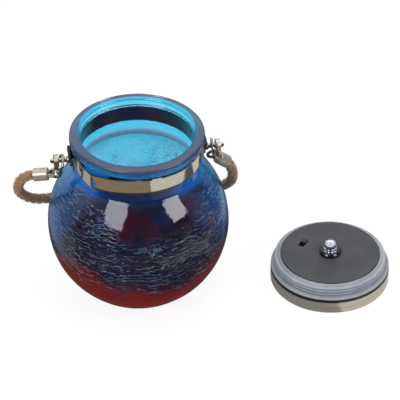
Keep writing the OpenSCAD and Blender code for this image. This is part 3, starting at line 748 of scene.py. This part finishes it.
silicone = Paint("silicone", IOR=1.41)
cloudy = silicone.noise(55.0, 3.0)
dust = silicone.noise(1400.0, 2.0)
gum_z = silicone.split(silicone.place)[2]
gum = silicone.mix(silicone.range(cloudy, 0.3, 0.75), (0.34, 0.36, 0.39), (0.48, 0.49, 0.51))
# darker along the lowest edge: partly the black housing showing through the thin silicone, partly painted
# contact shade
clear_of_contact_shade = silicone.range(gum_z, GASKET_LOW + 0.0004, GASKET_LOW + 0.0012)
silicone.set("Base Color", silicone.mix(clear_of_contact_shade, (0.02, 0.022, 0.028), gum))
silicone.set("Transmission Weight", silicone.range(cloudy, 0.3, 0.8, 0.22, 0.34))
silicone.set("Roughness", silicone.range(dust, 0.3, 0.7, 0.42, 0.56))
silicone.set("Normal", silicone.bump(dust, 0.12, 0.0002))
silicone.let_lamps_through((0.62, 0.68, 0.74))


def plastic(name, colour, rough, texture=1600.0, relief=0.25, spread=0.35, **fixed):
    """Moulded plastic with a fine spark-eroded texture and faint handling marks."""
    p = Paint(name, IOR=1.5, **fixed)
    pits = p.noise(texture, 4.0, 0.65)
    marks = p.noise(70.0, 4.0)
    lighter = tuple(min(1.0, c * (1 + spread) + 0.004) for c in colour)
    p.set("Base Color", p.mix(p.range(marks, 0.35, 0.7), colour, lighter))
    p.set("Roughness", p.range(pits, 0.3, 0.7, rough * 0.85, rough * 1.2))
    p.set("Normal", p.bump(pits, relief, 0.00015))
    return p.material


plate_black = plastic("plate_plastic", (0.030, 0.032, 0.036), 0.42, spread=0.25)
gloss_black = plastic("gloss_black_plastic", (0.008, 0.008, 0.009), 0.14, relief=0.08)
house_black = plastic("housing_plastic", (0.011, 0.011, 0.012), 0.35)
sleeve_green = plastic("battery_sleeve", (0.03, 0.20, 0.09), 0.3, relief=0.05)
wire_red = plastic("wire_insulation", (0.45, 0.02, 0.02), 0.35, relief=0.05)
chip_black = plastic("chip_epoxy", (0.012, 0.012, 0.014), 0.5)
tinned = metal("tinned_contacts", (0.80, 0.79, 0.76), 0.3)
led_metal = metal("lead_frame_metal", (0.42, 0.42, 0.42), 0.3)

board = Paint("board_green", IOR=1.5, Coat_Weight=0.4, Coat_Roughness=0.1)
board_x = board.split(board.place)[0]
tracks = board.math("ABSOLUTE", board.math("SINE", board.times(board_x, 2400.0)))
tracks = board.times(board.range(tracks, 0.75, 0.9),
                     board.range(board.noise(160.0, 1.0), 0.48, 0.52))
board.set("Base Color", board.mix(tracks, (0.012, 0.12, 0.045), (0.03, 0.24, 0.09)))
board.set("Roughness", board.range(board.noise(900.0, 2.0), 0.3, 0.7, 0.28, 0.4))
board.set("Normal", board.bump(tracks, 0.3, 0.0001))

# dark blue cells with fine fingers and bus bars
cells = Paint("solar_cells", IOR=1.5, Coat_Weight=0.6, Coat_Roughness=0.04)
panel_x, panel_y, _ = cells.split(cells.place)
panel_x = cells.minus(panel_x, LID_X)
panel_y = cells.minus(panel_y, LID_Y)


def stripes(p, coordinate, pitch, width):
    """1 on thin lines that repeat at a pitch."""
    across = p.from_stripe(coordinate, pitch)
    return p.range(across, 0.5 * width / pitch, 0.6 * width / pitch, 1.0, 0.0)


CELL_PITCH = 11.5 * MM
gaps = stripes(cells, panel_x, CELL_PITCH, 0.9 * MM)
fingers = stripes(cells, panel_y, 1.6 * MM, 0.22 * MM)
bars = stripes(cells, cells.plus(panel_x, CELL_PITCH / 2), CELL_PITCH, 0.7 * MM)
crystal = cells.noise(240.0, 2.0)
silicon = cells.mix(cells.range(crystal, 0.35, 0.65), (0.010, 0.016, 0.060), (0.020, 0.038, 0.130))
silicon = cells.mix(cells.times(fingers, 0.45), silicon, (0.35, 0.37, 0.40))
silicon = cells.mix(bars, silicon, (0.55, 0.56, 0.58))
cells.set("Base Color", cells.mix(gaps, silicon, (0.01, 0.01, 0.012)))
cells.set("Roughness", cells.range(crystal, 0.3, 0.7, 0.18, 0.32))

window = Paint("window_plastic", Transmission_Weight=1.0, IOR=1.49)
window_cloud = window.range(window.noise(40.0), 0.4, 0.8)
window.set("Base Color", window.mix(window_cloud, (0.90, 0.92, 0.93), (0.84, 0.87, 0.89)))
window.set("Roughness", window.range(window.noise(500.0, 4.0), 0.35, 0.8, 0.02, 0.10))
window.let_lamps_through((0.93, 0.94, 0.95))

lens = Paint("led_epoxy", Transmission_Weight=1.0, IOR=1.53)
lens_cloud = lens.range(lens.noise(300.0), 0.4, 0.8)
lens.set("Base Color", lens.mix(lens_cloud, (0.66, 0.68, 0.74), (0.55, 0.58, 0.66)))
lens.set("Roughness", lens.range(lens.noise(700.0, 3.0), 0.35, 0.8, 0.02, 0.08))
lens.set("Normal", lens.bump(lens.noise(250.0, 2.0), 0.12, 0.0004))
lens.let_lamps_through((0.93, 0.94, 0.97))

FINISH = {
    "glass_jar": clear.material, "neck_band": polished, "front_strap": polished,
    "stud_brackets": bracket.material, "handle_studs": hardware, "stud_washers": hardware,
    "spacer_collars": hardware, "stud_nuts": hardware, "eye_ring_left": hardware,
    "eye_ring_right": hardware, "link_ring_left": dark_ring, "link_ring_right": dark_ring,
    "rope_cap_left": cap_metal, "rope_cap_right": cap_metal, "handle_rope": jute.material,
    "lid_rim_ring": brushed.material, "panel_window": window.material, "solar_panel": cells.material,
    "lid_housing": house_black, "gasket": silicone.material, "base_plate": plate_black,
    "led_holder": gloss_black, "led_lens": lens.material, "led_frame": led_metal,
    "led_leads": tinned, "switch_body": house_black, "switch_knob": gloss_black,
    "battery_holder": house_black, "battery": sleeve_green, "battery_contacts": tinned,
    "circuit_board": board.material, "driver_chip": chip_black, "inductor": chip_black,
    "panel_leads": wire_red, "board_screws": tinned}
for name, finish in FINISH.items():
    slots_of = nodes[name].data.materials
    slots_of.clear()
    slots_of.append(finish)
BEVELS = {"stud_nuts": 0.22, "stud_washers": 0.15, "stud_brackets": 0.2, "base_plate": 0.2,
          "led_holder": 0.2, "switch_knob": 0.2}
for name, width in BEVELS.items():
    mod = nodes[name].modifiers.new("soft_edges", "BEVEL")
    mod.width = width * MM
    mod.segments = 3
    mod.limit_method = "ANGLE"
    mod.angle_limit = math.radians(35)
    mod.harden_normals = True

# ---------------------------------------------------------------- studio
floor_paint = Paint("pale_floor", Roughness=0.9, Specular_IOR_Level=0.1)
floor_cloud = floor_paint.noise(3.0)
floor_paint.set("Base Color", floor_paint.mix(floor_cloud, (0.15, 0.15, 0.15), (0.17, 0.17, 0.17)))
floor_paint.shader.inputs["Emission Color"].default_value = (1, 1, 1, 1)
floor_paint.shader.inputs["Emission Strength"].default_value = 0.87
FLOOR = 8.0  # metres from the middle to a side
FLOOR_GAP = 0.2 * MM
floor_corners = [(-FLOOR, -FLOOR, 0), (FLOOR, -FLOOR, 0), (FLOOR, FLOOR, 0), (-FLOOR, FLOOR, 0)]
floor = make("studio_floor", floor_corners, [(0, 1, 2, 3)], [floor_paint.material], smooth=False)
floor.location.z = -FLOOR_GAP
floor.visible_glossy = False

world = bpy.data.worlds.new("studio")
bpy.context.scene.world = world
world.use_nodes = True
sky = world.node_tree
back_light = sky.nodes["Background"]
way = sky.nodes.new("ShaderNodeTexCoord")
lean = sky.nodes.new("ShaderNodeVectorMath")
lean.operation = "DOT_PRODUCT"
lean.inputs[1].default_value = (-0.10, 0.62, 0.78)
sky.links.new(way.outputs["Generated"], lean.inputs[0])
ramp = sky.nodes.new("ShaderNodeValToRGB")
sky.links.new(lean.outputs["Value"], ramp.inputs[0])
ramp.color_ramp.elements[0].position = 0.0
ramp.color_ramp.elements[0].color = (0.07, 0.068, 0.065, 1)
ramp.color_ramp.elements[1].position = 0.62
ramp.color_ramp.elements[1].color = (1.0, 1.0, 1.0, 1)
middle = ramp.color_ramp.elements.new(0.30)
middle.color = (0.30, 0.30, 0.31, 1)
sky.links.new(ramp.outputs[0], back_light.inputs[0])
back_light.inputs[1].default_value = 0.9


def softbox(name, direction, aim, distance, size, radiance, colour=(1, 1, 1)):
    """A rectangular area light that faces a point from a direction."""
    data = bpy.data.lights.new(name, "AREA")
    data.shape = "RECTANGLE"
    data.size, data.size_y = size
    data.energy = radiance * math.pi * size[0] * size[1]
    data.color = colour
    obj = bpy.data.objects.new(name, data)
    bpy.context.scene.collection.objects.link(obj)
    d = Vector(direction).normalized()
    obj.location = Vector(aim) + d * distance
    obj.rotation_mode = "QUATERNION"
    obj.rotation_quaternion = d.to_track_quat("Z", "Y")
    obj.visible_camera = False


softbox("box_left", (-0.53, -0.54, 0.52), (-0.023, -0.047, 0.095), 0.9, (0.44, 0.46), 7.0,
        (0.92, 0.95, 1.0))
softbox("box_right", (0.68, -0.51, 0.52), (0.020, -0.047, 0.097), 0.9, (0.38, 0.36), 8.2, (0.95, 0.97, 1.0))
softbox("top_light", (0.1, 0.25, 1.0), (0.05, 0.0, 0.08), 1.4, (1.2, 1.0), 1.35)


def card(name, outline, colour):
    """A flat card near the floor that only shows in reflections; its outline is in mm."""
    m = bpy.data.materials.new(name)
    m.use_nodes = True
    t = m.node_tree
    glow = t.nodes.new("ShaderNodeEmission")
    glow.inputs[0].default_value = (*colour, 1)
    glow.inputs[1].default_value = 1.0
    t.links.new(glow.outputs[0], t.nodes["Material Output"].inputs[0])
    corners = [(x * MM, y * MM, CARD_Z * MM) for x, y in outline]
    obj = make(name, corners, [tuple(range(len(corners)))], [m], smooth=False)
    obj.visible_camera = False
    obj.visible_diffuse = False
    obj.visible_transmission = False
    obj.visible_shadow = False


CARD_Z = 1
card("tan_card", [(-260, -60), (-130, -110), (-60, -145), (35, -158), (35, -330), (-320, -300)],
     (0.27, 0.215, 0.145))
card("pale_card", [(40, -155), (40, -260), (240, -260), (240, 150), (140, 150), (150, -30), (125, -100),
                   (90, -135)], (0.66, 0.63, 0.56))
card("left_card", [(-100, -35), (-280, -35), (-280, 160), (-100, 160)], (0.42, 0.42, 0.40))

scene = bpy.context.scene
scene.view_settings.view_transform = "Standard"
scene.view_settings.look = "None"
scene.view_settings.exposure = 0.0
